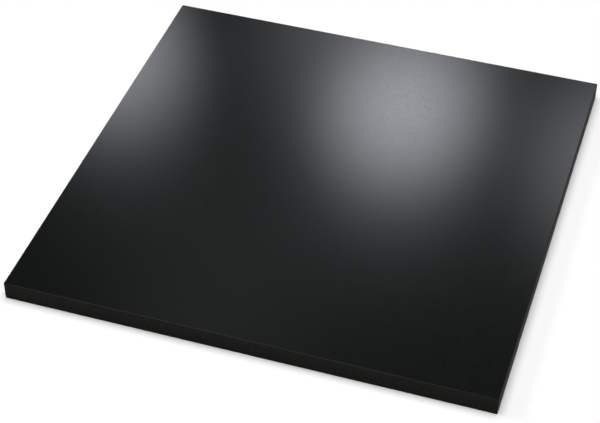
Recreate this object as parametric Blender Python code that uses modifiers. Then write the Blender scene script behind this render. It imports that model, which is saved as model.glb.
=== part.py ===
"""A square granite slab for a leather bench: one sawn stone plate with a honed work face.

Metres, +Z up. The origin is the centre of the underside, where the slab rests. X runs along the
front edge and Y from front to back. The plate is a single piece of stone: it has no backing,
no feet and nothing inside it.
"""

import bpy

# Driving dimensions, in metres.
SIDE = 0.500  # length of each side of the square
THICKNESS = 0.020  # calibrated slab stock
ARRIS = 0.0006  # leg of the small chamfer that takes the sharpness off every edge

# The honed black stone as a plain finish.
STONE_COLOUR = (0.012, 0.013, 0.013, 1.0)
STONE_ROUGHNESS = 0.40
STONE_METALLIC = 0.0

COLLECTION = "granite_slab_assembly"


def clear_scene():
    """Remove whatever the scene starts with."""
    for obj in list(bpy.data.objects):
        bpy.data.objects.remove(obj)


def object_collection():
    """The collection that holds the object's pieces."""
    collection = bpy.data.collections.new(COLLECTION)
    bpy.context.scene.collection.children.link(collection)
    return collection


def granite_material():
    """Honed black granite."""
    material = bpy.data.materials.new("black_granite")
    material.use_nodes = True
    shader = material.node_tree.nodes["Principled BSDF"]
    shader.inputs["Base Color"].default_value = STONE_COLOUR
    shader.inputs["Roughness"].default_value = STONE_ROUGHNESS
    shader.inputs["Metallic"].default_value = STONE_METALLIC
    return material


def sawn_plate(name, collection, material):
    """The plate as it leaves the saw: a flat square block whose underside is at Z = 0."""
    bpy.ops.mesh.primitive_cube_add(size=1.0, location=(0.0, 0.0, THICKNESS / 2))
    plate = bpy.context.object
    plate.name = name
    plate.scale = (SIDE, SIDE, THICKNESS)
    bpy.ops.object.transform_apply(location=False, rotation=False, scale=True)
    for holder in list(plate.users_collection):
        holder.objects.unlink(plate)
    collection.objects.link(plate)
    plate.data.materials.append(material)
    return plate


def ease_edges(plate):
    """Chamfer all twelve edges, as a hand pad does after sawing."""
    arris = plate.modifiers.new("arris", "BEVEL")
    arris.offset_type = "OFFSET"
    arris.width = ARRIS
    arris.segments = 1
    arris.limit_method = "ANGLE"


def main():
    clear_scene()
    collection = object_collection()
    slab = sawn_plate("granite_slab", collection, granite_material())
    ease_edges(slab)


main()
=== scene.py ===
# %% [markdown]
# # A honed granite slab for a leather bench
#
# A leather worker punches, stamps and thins leather on a slab like this, because it is heavy, hard
# and flat. It is one plate of black stone: sawn square out of a block, honed to a satin on top,
# and rubbed along its edges so that they don't cut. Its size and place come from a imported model
# and stay fixed. This lesson builds the stone's surface at that size, then lights it on a white
# table.

import math

import bpy
from mathutils import Matrix, Vector


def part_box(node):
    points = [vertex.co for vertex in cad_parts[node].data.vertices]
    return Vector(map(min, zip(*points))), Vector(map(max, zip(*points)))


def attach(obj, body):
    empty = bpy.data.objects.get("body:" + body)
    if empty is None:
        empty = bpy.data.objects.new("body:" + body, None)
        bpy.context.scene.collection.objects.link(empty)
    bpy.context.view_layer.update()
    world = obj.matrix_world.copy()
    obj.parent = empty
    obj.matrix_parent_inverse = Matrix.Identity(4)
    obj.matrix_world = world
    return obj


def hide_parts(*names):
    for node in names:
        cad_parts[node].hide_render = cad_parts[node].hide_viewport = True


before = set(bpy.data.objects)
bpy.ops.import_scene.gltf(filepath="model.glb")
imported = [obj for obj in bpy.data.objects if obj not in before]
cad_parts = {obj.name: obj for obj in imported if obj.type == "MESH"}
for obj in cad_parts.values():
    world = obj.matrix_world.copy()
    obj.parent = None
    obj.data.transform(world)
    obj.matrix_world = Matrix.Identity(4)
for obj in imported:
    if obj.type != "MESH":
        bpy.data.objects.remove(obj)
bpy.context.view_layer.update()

LOW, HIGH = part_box("granite_slab")
MM = 0.001
SIDE = HIGH.x - LOW.x
THICKNESS = HIGH.z - LOW.z
CENTRE = (LOW + HIGH) / 2
print(f"The plate is {SIDE / MM:.0f} mm square and {THICKNESS / MM:.0f} mm thick.")

# %% [markdown]
# ## The camera
#
# A product shot of a flat thing is taken from well above, or the top closes up into a line. The
# camera stands in front and a little to the right, at the height where the whole top and a strip
# of two edges show. A long lens from far back keeps the far side nearly as long as the near side.

# %% Place the camera
CAMERA_PLACE = Vector((0.3928, -1.3083, 1.1980))
CAMERA_AZIMUTH = math.radians(17.61)
CAMERA_ELEVATION = math.radians(41.946)
CAMERA_ROLL = math.radians(0.222)

lens = bpy.data.cameras.new("camera")
lens.sensor_width = 36.0
lens.lens = 102.26
lens.clip_end = 100.0
camera = bpy.data.objects.new("camera", lens)
bpy.context.scene.collection.objects.link(camera)
bpy.context.scene.camera = camera

heading = Matrix.Rotation(CAMERA_AZIMUTH, 4, "Z")
tilt = Matrix.Rotation(math.pi / 2 - CAMERA_ELEVATION, 4, "X")
roll = Matrix.Rotation(CAMERA_ROLL, 4, "Z")
camera.matrix_world = Matrix.Translation(CAMERA_PLACE) @ heading @ tilt @ roll
print(f"The camera stands {(CAMERA_PLACE - CENTRE).length:.2f} m from the plate.")

# %% [markdown]
# ## The blank
#
# At the quarry a saw with many blades cuts a block into plates 20 mm thick, and a bridge saw trims
# each one square. A stretched cube would give the same outline, but it has points only at its
# eight corners, and the edges and the underside need points all along them to carry their small
# unevenness. So a flat grid is laid out first and raised to the plate's thickness.

# %% Lay out a grid and raise it
CELL = 4 * MM


def deselect_all():
    """Nothing stays selected, so that the next operator acts on its own piece only."""
    if bpy.context.mode != "OBJECT":
        bpy.ops.object.mode_set(mode="OBJECT")
    bpy.ops.object.select_all(action="DESELECT")


def size_of(piece):
    """A few words on how much mesh a piece has."""
    mesh = piece.data
    return f"{piece.name}: {len(mesh.vertices)} points and {len(mesh.polygons)} faces"


deselect_all()
cells = round(SIDE / CELL)
under_centre = (CENTRE.x, CENTRE.y, LOW.z)
bpy.ops.mesh.primitive_grid_add(
    x_subdivisions=cells, y_subdivisions=cells, size=SIDE, location=under_centre
)
slab = bpy.context.object
slab.name = slab.data.name = "honed_slab"
bpy.ops.object.transform_apply(location=True, rotation=True, scale=True)
bpy.ops.object.mode_set(mode="EDIT")
bpy.ops.mesh.select_all(action="SELECT")
bpy.ops.mesh.extrude_region_move(TRANSFORM_OT_translate={"value": (0, 0, THICKNESS)})
bpy.ops.mesh.select_all(action="SELECT")
bpy.ops.mesh.normals_make_consistent(inside=False)
bpy.ops.object.mode_set(mode="OBJECT")
print("The blank,", size_of(slab))

# %% [markdown]
# ## The eased edges
#
# A sawn edge is sharp enough to cut leather and to flake off, so a hand pad takes it down to a
# narrow slope, the arris, about half a millimetre wide. A Bevel modifier could make it, but the
# bevel tool in edit mode leaves real faces that can be selected and given their own finish. Every
# edge that lies on two of the plate's six outer planes is chosen by its place. Three segments
# leave the slope a little rounded, as a pad does.

# %% Bevel the twelve edges
ARRIS = 0.6 * MM
ARRIS_STEPS = 3
NEAR = 0.01 * MM


def planes_through(point):
    """How many of the plate's outer planes a point lies on."""
    half = Vector((SIDE, SIDE, THICKNESS)) / 2
    return sum(abs(abs(point[axis] - CENTRE[axis]) - half[axis]) < NEAR for axis in range(3))


def select_in_mesh(piece, items, chosen):
    """In edit mode, select only the points, edges or faces that chosen() picks."""
    kinds = {"vertices": "VERT", "edges": "EDGE", "polygons": "FACE"}
    bpy.ops.object.mode_set(mode="EDIT")
    bpy.ops.mesh.select_mode(type=kinds[items])
    bpy.ops.mesh.select_all(action="DESELECT")
    bpy.ops.object.mode_set(mode="OBJECT")
    for item in getattr(piece.data, items):
        item.select = chosen(item)
    bpy.ops.object.mode_set(mode="EDIT")


def on_outer_edge(edge):
    """True for an edge along one of the twelve sides of the plate's box."""
    ends = [slab.data.vertices[index].co for index in edge.vertices]
    return planes_through(sum(ends, Vector()) / 2) >= 2


select_in_mesh(slab, "edges", on_outer_edge)
bpy.ops.mesh.bevel(
    offset=ARRIS, offset_type="OFFSET", segments=ARRIS_STEPS, profile=0.4, affect="EDGES"
)
bpy.ops.object.mode_set(mode="OBJECT")
print("With its edges eased,", size_of(slab))

# %% [markdown]
# ## Unevenness that a hand and a saw leave
#
# The arris is rubbed by hand, so it is a little deeper in some places than in others, and the
# underside keeps the shallow ridges of the saw. Both are real shape, so they belong in the mesh
# and not only in the shading. A Displace modifier with a procedural texture moves just the points
# of one vertex group. It only ever moves them inwards, because work on stone only takes stone
# away.

# %% Wear the arris and groove the underside
ARRIS_WEAR = 0.15 * MM
SAW_GROOVE = 0.08 * MM


def group_of(piece, name, chosen):
    """A vertex group with the points that chosen() picks."""
    group = piece.vertex_groups.new(name=name)
    members = [point.index for point in piece.data.vertices if chosen(point.co)]
    group.add(members, 1.0, "REPLACE")
    return group


def sink(piece, group, texture, depth, direction):
    """Move a group's points along direction by up to depth, as the texture says. A negative
    depth moves them back."""
    modifier = piece.modifiers.new(group.name, "DISPLACE")
    modifier.vertex_group = group.name
    modifier.texture = texture
    modifier.texture_coords = "LOCAL"
    modifier.direction = direction
    modifier.strength = depth
    modifier.mid_level = 0.0
    bpy.context.view_layer.objects.active = piece
    bpy.ops.object.modifier_apply(modifier=modifier.name)


def on_arris(point):
    """True for a point on the eased edges, inside the flat faces' borders."""
    inward = [SIDE / 2 - abs(point.x - CENTRE.x), SIDE / 2 - abs(point.y - CENTRE.y)]
    inward.append(THICKNESS / 2 - abs(point.z - CENTRE.z))
    return sum(distance < ARRIS - NEAR for distance in inward) >= 2


def on_underside(point):
    """True for a point on the flat underside, clear of its arris."""
    reach = SIDE / 2 - 2 * ARRIS
    flat = abs(point.x - CENTRE.x) < reach and abs(point.y - CENTRE.y) < reach
    return flat and point.z < LOW.z + NEAR


rubbed = bpy.data.textures.new("hand_rubbing", "CLOUDS")
rubbed.noise_scale = 18 * MM
sawn = bpy.data.textures.new("saw_ridges", "WOOD")
sawn.wood_type = "BANDNOISE"
sawn.noise_scale = 30 * MM
sawn.turbulence = 4.0
sink(slab, group_of(slab, "arris", on_arris), rubbed, -ARRIS_WEAR, "NORMAL")
sink(slab, group_of(slab, "underside", on_underside), sawn, SAW_GROOVE, "Z")
slab.vertex_groups.clear()
lowest = min(point.co.z for point in slab.data.vertices)
print("Lowest point", round(lowest / MM, 3), "mm")

# %% [markdown]
# ## Sums on sockets
#
# A shader is a graph of nodes, and a graph of arithmetic is hard to read. The first class here
# holds one socket, and when Python adds or multiplies it, it adds the Math node that does so. The
# second makes every other node, from its type, its settings and what goes into its sockets.

# %% Write shader sums as Python
class Socket:
    """A node's output that can stand in a Python expression."""

    def __init__(self, finish, output):
        self.finish = finish
        self.output = output

    def maths(self, operation, *terms):
        """A Math node on these numbers or sockets."""
        return self.finish.node("ShaderNodeMath", {"operation": operation}, dict(enumerate(terms)))

    def __add__(self, other):
        return self.maths("ADD", self, other)

    def __sub__(self, other):
        return self.maths("SUBTRACT", self, other)

    def __rsub__(self, other):
        return self.maths("SUBTRACT", other, self)

    def __mul__(self, other):
        return self.maths("MULTIPLY", self, other)

    def __gt__(self, other):
        return self.maths("GREATER_THAN", self, other)

    def __lt__(self, other):
        return self.maths("LESS_THAN", self, other)

    def __abs__(self):
        return self.maths("ABSOLUTE", self)

    __radd__ = __add__
    __rmul__ = __mul__

    def sine(self):
        """The sine of the value."""
        return self.maths("SINE", self)

    def larger(self, other):
        """The larger of two values."""
        return self.maths("MAXIMUM", self, other)


class Finish:
    """A material and the nodes that make it."""

    def __init__(self, name):
        self.material = bpy.data.materials.new(name)
        self.material.use_nodes = True
        self.tree = self.material.node_tree
        self.shader = self.tree.nodes["Principled BSDF"]

    def feed(self, target, value):
        """Link a Socket to an input, or set the input to a number, vector or colour."""
        if isinstance(value, Socket):
            self.tree.links.new(value.output, target)
        else:
            target.default_value = value

    def node(self, kind, settings=None, inputs=None, output=0):
        """A new node: its settings first, then its inputs by name or number."""
        made = self.tree.nodes.new(kind)
        for setting, value in (settings or {}).items():
            if setting == "stops":
                self.set_stops(made.color_ramp, value)
            else:
                setattr(made, setting, value)
        for name, value in (inputs or {}).items():
            self.feed(made.inputs[name], value)
        return Socket(self, made.outputs[output])

    def set_stops(self, ramp, stops):
        """Give a colour ramp these colours at these places."""
        while len(ramp.elements) < len(stops):
            ramp.elements.new(1.0)
        for element, (place, colour) in zip(ramp.elements, stops):
            element.position = place
            element.color = colour

    def principled(self, **inputs):
        """Set or link the shader's own inputs, with spaces written as underscores."""
        for name, value in inputs.items():
            self.feed(self.shader.inputs[name.replace("_", " ")], value)


print("Sums ready: +, -, *, <, >, abs(), sine() and larger()")

# %% [markdown]
# ## Where a point of the stone is
#
# Everything in the stone is measured in millimetres, and a shader works in metres, so the object's
# own coordinates are scaled up first. They stay with the slab when it is moved, and they run on
# through an edge, so whatever is drawn in them goes all the way through, as in a real block.

# %% Read places in millimetres
def millimetres(finish):
    """The place on the slab, in millimetres."""
    place = finish.node("ShaderNodeTexCoord", output="Object")
    settings = {"operation": "SCALE"}
    return finish.node("ShaderNodeVectorMath", settings, {0: place, "Scale": 1 / MM})


def along(finish, place, axis):
    """One coordinate of a place."""
    return finish.node("ShaderNodeSeparateXYZ", None, {"Vector": place}, axis)


def noise_at(finish, place, per_mm, detail=2.0):
    """Smooth noise from 0 to 1 whose features are 1 / per_mm millimetres across."""
    inputs = {"Vector": place, "Scale": per_mm, "Detail": detail}
    return finish.node("ShaderNodeTexNoise", None, inputs)


def mix_colours(finish, share, first, second):
    """The first colour where share is 0, and the second where it is 1."""
    settings = {"data_type": "RGBA"}
    return finish.node("ShaderNodeMix", settings, {0: share, 6: first, 7: second}, 2)


print(f"In these units the stone is {SIDE / MM:.0f} wide and {THICKNESS / MM:.0f} thick.")

# %% [markdown]
# ## What the stone is made of
#
# Black granite of the trade is a mass of dark crystals about a millimetre across: green-black
# pyroxene, long laths of dark grey feldspar, and now and then a grain of shiny ore. A flat picture
# of stone would stretch or repeat at the corners. A Voronoi texture fills space with cells
# instead, one for each crystal. For the laths, space is squeezed along one direction before the
# cells are drawn, so that they come out long and thin.

# %% Grow the crystals
PYROXENE = (0.0044, 0.0050, 0.0044, 1)
FELDSPAR = (0.0064, 0.0070, 0.0068, 1)
ORE = (0.0115, 0.0125, 0.0125, 1)
CRYSTALS_PER_MM = 0.95
LATHS_PER_MM = 1.3
LATH_LENGTH = 3.0
LATH_CHANCE = 0.62
ORE_GRAINS_PER_MM = 0.9
ORE_CHANCE = 0.996
LATH_TURNS = ((0.35, 0.6, 0.9), (1.1, 0.2, 2.3))


def chances_at(finish, place, per_mm, channel="Red"):
    """A random number from 0 to 1 for each crystal of about 1 / per_mm millimetres."""
    inputs = {"Vector": place, "Scale": per_mm}
    colour = finish.node("ShaderNodeTexVoronoi", None, inputs, "Color")
    return finish.node("ShaderNodeSeparateColor", None, {"Color": colour}, channel)


def laths_at(finish, place, turn):
    """1 in long thin crystals that lie one way, and 0 between them."""
    settings = {"vector_type": "TEXTURE"}
    inputs = {"Vector": place, "Rotation": turn, "Scale": (0.8, LATH_LENGTH, 0.8)}
    turned = finish.node("ShaderNodeMapping", settings, inputs)
    return chances_at(finish, turned, LATHS_PER_MM) > LATH_CHANCE


def crystals(finish, place):
    """The stone's colour, where its laths are, and a number from -0.5 to 0.5 for each crystal."""
    first, second = (laths_at(finish, place, turn) for turn in LATH_TURNS)
    lath = first.larger(second)
    tone = chances_at(finish, place, CRYSTALS_PER_MM, "Green")
    colour = mix_colours(finish, lath * (0.5 + 0.5 * tone), PYROXENE, FELDSPAR)
    ore = chances_at(finish, place, ORE_GRAINS_PER_MM) > ORE_CHANCE
    colour = mix_colours(finish, ore, colour, ORE)
    return colour, lath, chances_at(finish, place, CRYSTALS_PER_MM) - 0.5


print(f"Crystals are about {1 / CRYSTALS_PER_MM:.1f} mm across.")
print(f"Laths are about {LATH_LENGTH / LATHS_PER_MM:.1f} mm long.")

# %% [markdown]
# ## One stone, four finishes
#
# The same stone shows four faces: a honed top, rubbed edges, a hand-rubbed arris between them and
# a sawn underside. What differs is how rough each is, how much crushed stone stays in it as a pale
# powder, how tall its fine grain is and whether a tool left lines. One function takes those, and
# the crystals run through all four. Hard crystals stand up a little from soft ones and take a
# slightly different polish, which gives the satin its very fine sparkle.

# %% Make a finish from its roughness, powder and grain
POWDER = (0.16, 0.16, 0.155, 1)
POLISH_SPREAD = 0.065
LATH_ROUGHNESS = 0.004
LINE_ROUGHNESS = 0.06
GRAINS_PER_MM = 1.5
LATH_LIFT = 0.15


def stone_finish(name, roughness, powder, grain, marks=None):
    """The stone with a surface of this roughness. Powder is its pale share, from 0 to 1, grain is
    the height of its fine grain in millimetres, and marks makes a pattern of lines."""
    finish = Finish(name)
    place = millimetres(finish)
    colour, lath, difference = crystals(finish, place)
    rough = roughness + difference * POLISH_SPREAD + lath * LATH_ROUGHNESS
    height = noise_at(finish, place, GRAINS_PER_MM, 3.0) * grain + lath * (grain * LATH_LIFT)
    if marks:
        lines = marks(finish, place)
        rough = rough + (lines - 0.5) * LINE_ROUGHNESS
        height = height + lines * grain
    if powder:
        colour = mix_colours(finish, powder, colour, POWDER)
    bumped = finish.node("ShaderNodeBump", None, {"Height": height, "Distance": MM})
    finish.principled(Base_Color=colour, Roughness=rough, Normal=bumped, IOR=1.5)
    return finish.material


honed = stone_finish("honed_granite", roughness=0.20, powder=0.0, grain=0.004)
arris = stone_finish("arris_granite", roughness=0.40, powder=0.02, grain=0.008)
print("Made", honed.name, "and", arris.name)

# %% [markdown]
# ## The lines that tools leave
#
# An edge is rubbed along its length, so its scratches run that way: noise that is stretched along
# X and Y and tight along Z gives them on all four edges at once. The underside shows the saw, as
# arcs a few millimetres apart. A sine along Y draws straight lines, and adding slow noise to Y
# first makes them wander as a blade does.

# %% Mark the edges and the underside
def rub_lines(finish, place):
    """Fine lines that run along the edges, parallel with the top."""
    inputs = {"Vector": place, "Scale": (0.04, 0.04, 5.0)}
    stretched = finish.node("ShaderNodeMapping", None, inputs)
    return noise_at(finish, stretched, 1.0, 3.0)


def saw_lines(finish, place):
    """Arcs about 3 mm apart, wandering a little."""
    wander = noise_at(finish, place, 0.02) * 30
    return (along(finish, place, "Y") * 2.0 + wander).sine() * 0.5 + 0.5


edges = stone_finish("rubbed_granite", roughness=0.28, powder=0.0, grain=0.004, marks=rub_lines)
underside = stone_finish("sawn_granite", roughness=0.62, powder=0.20, grain=0.03, marks=saw_lines)
for material in (honed, edges, arris, underside):
    slab.data.materials.append(material)
print("Finishes:", ", ".join(material.name for material in slab.data.materials))

# %% [markdown]
# ## Which face has which finish
#
# A face's direction says what it is: up is the honed top, down is the underside, level is an edge,
# and anything between is the arris. Faces are given their slot by their normals. Where two
# finishes meet there is a real crease, so those lines are marked sharp, and smooth shading then
# rounds only the arris.

# %% Give each face its finish
TOP, EDGE, ARRIS_SLOPE, UNDER = range(4)
STRAIGHT = 0.999
NEARLY_STRAIGHT = 0.9


def slot_for(normal):
    """The number of the finish for a face that points this way. The saw's grooves tilt the
    underside's faces a little, so it has a looser test."""
    if normal.z > STRAIGHT:
        return TOP
    if normal.z < -NEARLY_STRAIGHT:
        return UNDER
    if max(abs(normal.x), abs(normal.y)) > STRAIGHT:
        return EDGE
    return ARRIS_SLOPE


finishes_at = {}
for face in slab.data.polygons:
    face.material_index = slot_for(face.normal)
    for key in face.edge_keys:
        finishes_at.setdefault(key, set()).add(face.material_index)
select_in_mesh(slab, "edges", lambda edge: len(finishes_at[edge.key]) > 1)
bpy.ops.mesh.mark_sharp()
deselect_all()
slab.select_set(True)
bpy.context.view_layer.objects.active = slab
bpy.ops.object.shade_smooth_by_angle(angle=math.radians(40))
slots = [face.material_index for face in slab.data.polygons]
counts = [slots.count(slot) for slot in (TOP, EDGE, ARRIS_SLOPE, UNDER)]
print("Faces honed, rubbed, eased and sawn:", counts)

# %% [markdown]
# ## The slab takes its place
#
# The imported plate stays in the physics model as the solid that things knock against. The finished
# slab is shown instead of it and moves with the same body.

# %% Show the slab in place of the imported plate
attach(slab, "root")
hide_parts("granite_slab")
print(slab.name, "rides on root and stands for granite_slab")

# %% [markdown]
# ## A white table
#
# The slab lies on a plain white table with no visible edge. Its colour is a little under white,
# because no real paint is brighter, and the light brings it up to white. Black stone is mostly
# mirror, and a white table would show along its edges as a bright strip that hides their tone. So
# this table is left out of reflections, and the next step puts another one there.

# %% Lay the table
def plain_finish(name, colour, glow=0.0):
    """A flat finish with no shine, which may give off white light."""
    finish = Finish(name)
    finish.principled(Base_Color=colour, Roughness=1.0, Specular_IOR_Level=0.0)
    finish.principled(Emission_Color=(1, 1, 1, 1), Emission_Strength=glow)
    return finish


TABLE_WIDTH = 60


def flat_plane(name, z, finish):
    """A wide level plane that belongs to the studio."""
    deselect_all()
    bpy.ops.mesh.primitive_plane_add(size=TABLE_WIDTH, location=(0, 0, z))
    plane = bpy.context.object
    plane.name = name
    plane.data.materials.append(finish.material)
    return plane


table = flat_plane("white_table", LOW.z, plain_finish("table_paint", (0.85, 0.85, 0.85, 1)))
table.visible_glossy = False
print("The table lies at", round(LOW.z / MM, 3), "mm")

# %% [markdown]
# ## What the stone mirrors at its sides
#
# A second table lies just under the first and is seen only in reflections. Its glow carries a
# painted shadow: it is dark where the slab's own shadow would be and grows lighter further out, so
# the slab's edges stay black, with a slight fade from bottom to top. A low wall all round, also
# seen only in reflections, gives the stone something to mirror when the eye is near the table.

# %% Put a table with a painted shadow and a low wall in reflections
FADE = 400 * MM
# These tones are a painted shadow in the mirrored table's glow: dark by the slab, lighter further
# out.
TONES = ((0.0, 0.09), (0.012, 0.115), (0.04, 0.165), (0.07, 0.18), (0.5, 0.36), (1.0, 0.45))
WARM = (1.03, 1.0, 0.91)
WALL_RADIUS = 12
WALL_HEIGHT = 2.4


def only_in_reflections(thing):
    """Hide a thing from everything but mirror-like reflection."""
    thing.visible_camera = False
    thing.visible_diffuse = False
    thing.visible_shadow = False


# The glow below paints the slab's shadow into the mirrored table, in place of a cast one.
painted_shadow_glow = plain_finish("table_glow_painted_shadow", (0, 0, 0, 1), glow=1.0)
spot = painted_shadow_glow.node("ShaderNodeTexCoord", output="Object")
farther = abs(along(painted_shadow_glow, spot, "X")).larger(abs(along(painted_shadow_glow, spot, "Y")))
away = (farther - SIDE / 2) * (1 / FADE)
stops = [(share, (*(tone * part for part in WARM), 1)) for share, tone in TONES]
painted_shadow_glow.principled(Emission_Color=painted_shadow_glow.node("ShaderNodeValToRGB", {"stops": stops}, {0: away}))
only_in_reflections(flat_plane("table_in_reflections", LOW.z - 1 * MM, painted_shadow_glow))

deselect_all()
half_way_up = (0, 0, WALL_HEIGHT / 2)
bpy.ops.mesh.primitive_cylinder_add(
    radius=WALL_RADIUS, depth=WALL_HEIGHT, end_fill_type="NOTHING", location=half_way_up
)
wall = bpy.context.object
wall.name = "wall_in_reflections"
wall.data.materials.append(plain_finish("pale_wall", (0, 0, 0, 1), glow=0.3).material)
only_in_reflections(wall)
print(f"The mirrored table's tone is {TONES[0][1]} by the slab.")
print(f"It is {TONES[-1][1]} from {FADE / MM:.0f} mm on.")

# %% [markdown]
# ## A white surround
#
# Beyond the table there is nothing but white, for the camera only. If it also lit the scene it
# would wash out the black stone, so it is kept out of both the light and the reflections, which
# come from lamps that are each placed on purpose.

# %% Surround the table with white
world = bpy.data.worlds.new("studio")
bpy.context.scene.world = world
world.use_nodes = True
surround = world.node_tree.nodes["Background"].inputs
surround["Color"].default_value = (1, 1, 1, 1)
surround["Strength"].default_value = 1.0
world.cycles_visibility.glossy = False
world.cycles_visibility.diffuse = False
print("Background strength", surround["Strength"].default_value)

# %% [markdown]
# ## Even light from above
#
# The table is lit by a wide bank of lamps overhead, so that the slab's shadow is only a soft rim
# about its own thickness wide. A Sun lamp with a wide angle is just such a patch of sky. A smaller
# patch at the left makes the shadow reach a little further on the right. Neither shows in the
# stone, so its reflections can be set up separately.

# %% Hang the banks of lamps
def direction(azimuth, elevation):
    """The unit vector to a place on the sky. Azimuth 0 is in front of the slab, 90 at its right
    and 180 behind it."""
    a, e = math.radians(azimuth), math.radians(elevation)
    return Vector((math.sin(a) * math.cos(e), -math.cos(a) * math.cos(e), math.sin(e)))


def bank(name, azimuth, elevation, spread, strength):
    """Even light from a round patch of the sky, that many degrees across, without glare."""
    data = bpy.data.lights.new(name, "SUN")
    data.angle = math.radians(spread)
    data.energy = strength
    light = bpy.data.objects.new(name, data)
    bpy.context.scene.collection.objects.link(light)
    light.rotation_euler = direction(azimuth, elevation).to_track_quat("Z", "Y").to_euler()
    light.visible_glossy = False
    print(f"{name}: {spread} degrees across, strength {strength}")


bank("overhead_bank", 0, 90, 56, 3.45)
bank("left_bank", -90, 37, 11, 0.47)

# %% [markdown]
# ## The glow on the honed top
#
# A satin surface turns a lamp into a soft glow, and its shape tells how flat and how smooth the
# stone is. A softbox is a lamp behind white cloth, brightest in the middle and fading out towards
# its rim. An Area lamp is equally bright all over and would leave a flat patch with visible edges,
# so each softbox here is a plane whose glow is a sum on its own coordinates: one less the squared
# distance from the middle, all squared, which falls smoothly to nothing. The cloth itself is
# clear, so that one softbox doesn't hide another behind it.

# %% Make softboxes that fade out
COOL = (0.965, 1.0, 1.078)


def glowing_cloth(name, radiance):
    """A see-through cloth, this bright in its middle and fading to nothing at its rim."""
    finish = Finish(name)
    spot = finish.node("ShaderNodeTexCoord", output="Object")
    across, up = along(finish, spot, "X"), along(finish, spot, "Y")
    inside = (1 - (across * across + up * up)).larger(0)
    settings = {"operation": "SCALE"}
    colour = finish.node("ShaderNodeVectorMath", settings, {0: COOL, "Scale": inside * inside})
    glow = finish.node("ShaderNodeEmission", None, {"Color": colour, "Strength": radiance})
    clear = finish.node("ShaderNodeBsdfTransparent")
    both = finish.node("ShaderNodeAddShader", None, {0: glow, 1: clear})
    finish.feed(finish.tree.nodes["Material Output"].inputs["Surface"], both)
    return finish.material


def softbox(name, place, half_width, half_height, radiance, turn=0):
    """A softbox facing the middle of the slab, turned by so many degrees in its own plane."""
    deselect_all()
    bpy.ops.mesh.primitive_plane_add(size=2)
    cloth = bpy.context.object
    cloth.name = name
    cloth.data.materials.append(glowing_cloth(name + "_cloth", radiance))
    place = Vector(place)
    facing = (-place).to_track_quat("-Z", "Y").to_matrix().to_4x4()
    turned = Matrix.Rotation(math.radians(turn), 4, "Z")
    size = Matrix.Diagonal((half_width, half_height, 1, 1))
    cloth.matrix_world = Matrix.Translation(place) @ facing @ turned @ size
    only_in_reflections(cloth)
    print(f"{name}: {2 * half_width:.2f} x {2 * half_height:.2f} m, {place.length:.1f} m away")


# %% [markdown]
# ## Where the softboxes stand
#
# Three softboxes stand behind the slab, at its middle, left and right. Two large dim scrims, one
# behind them and one high at the left, join their glows. Each is given by its direction, a metre
# from the slab's middle, then half its width and half its height in metres, its brightness and its
# turn. All five show only in reflections, because the banks light the table, and so the glow and
# the shadow can each be set without touching the other.

# %% Stand the softboxes behind the slab
softbox("main_softbox", direction(187.3, 35.5), 0.185, 0.164, 6.8, 23)
softbox("left_softbox", direction(219.5, 27.2), 0.175, 0.219, 5.4, 33)
softbox("right_softbox", direction(162.2, 35.0), 0.225, 0.216, 2.6)
softbox("back_scrim", direction(190.2, 28.0), 0.310, 0.310, 1.17)
softbox("high_scrim", direction(212.3, 53.5), 0.243, 0.448, 0.22, -38)

# %% [markdown]
# ## Fill for the edges and the other sides
#
# The arris slopes towards the camera, so it mirrors what is in front and above, and with nothing
# there it would be a black line. A weak, wide light in front makes it a fine pale one. Another
# stands low at the front right, where the stone mirrors it when it is seen from the back.

# %% Add the weak fill lights
softbox("front_fill", 1.6 * direction(-19, 45), 0.8, 0.6, 1.45)
softbox("low_panel", 2.2 * direction(45, 15), 0.9, 0.5, 0.8)

# %% [markdown]
# ## Tones as a camera records them
#
# The Standard view keeps a white table white and leaves the black stone its depth. The default
# view compresses bright tones, which would turn the table grey.

# %% Set the view of the tones
bpy.context.scene.view_settings.view_transform = "Standard"
print("View:", bpy.context.scene.view_settings.view_transform)
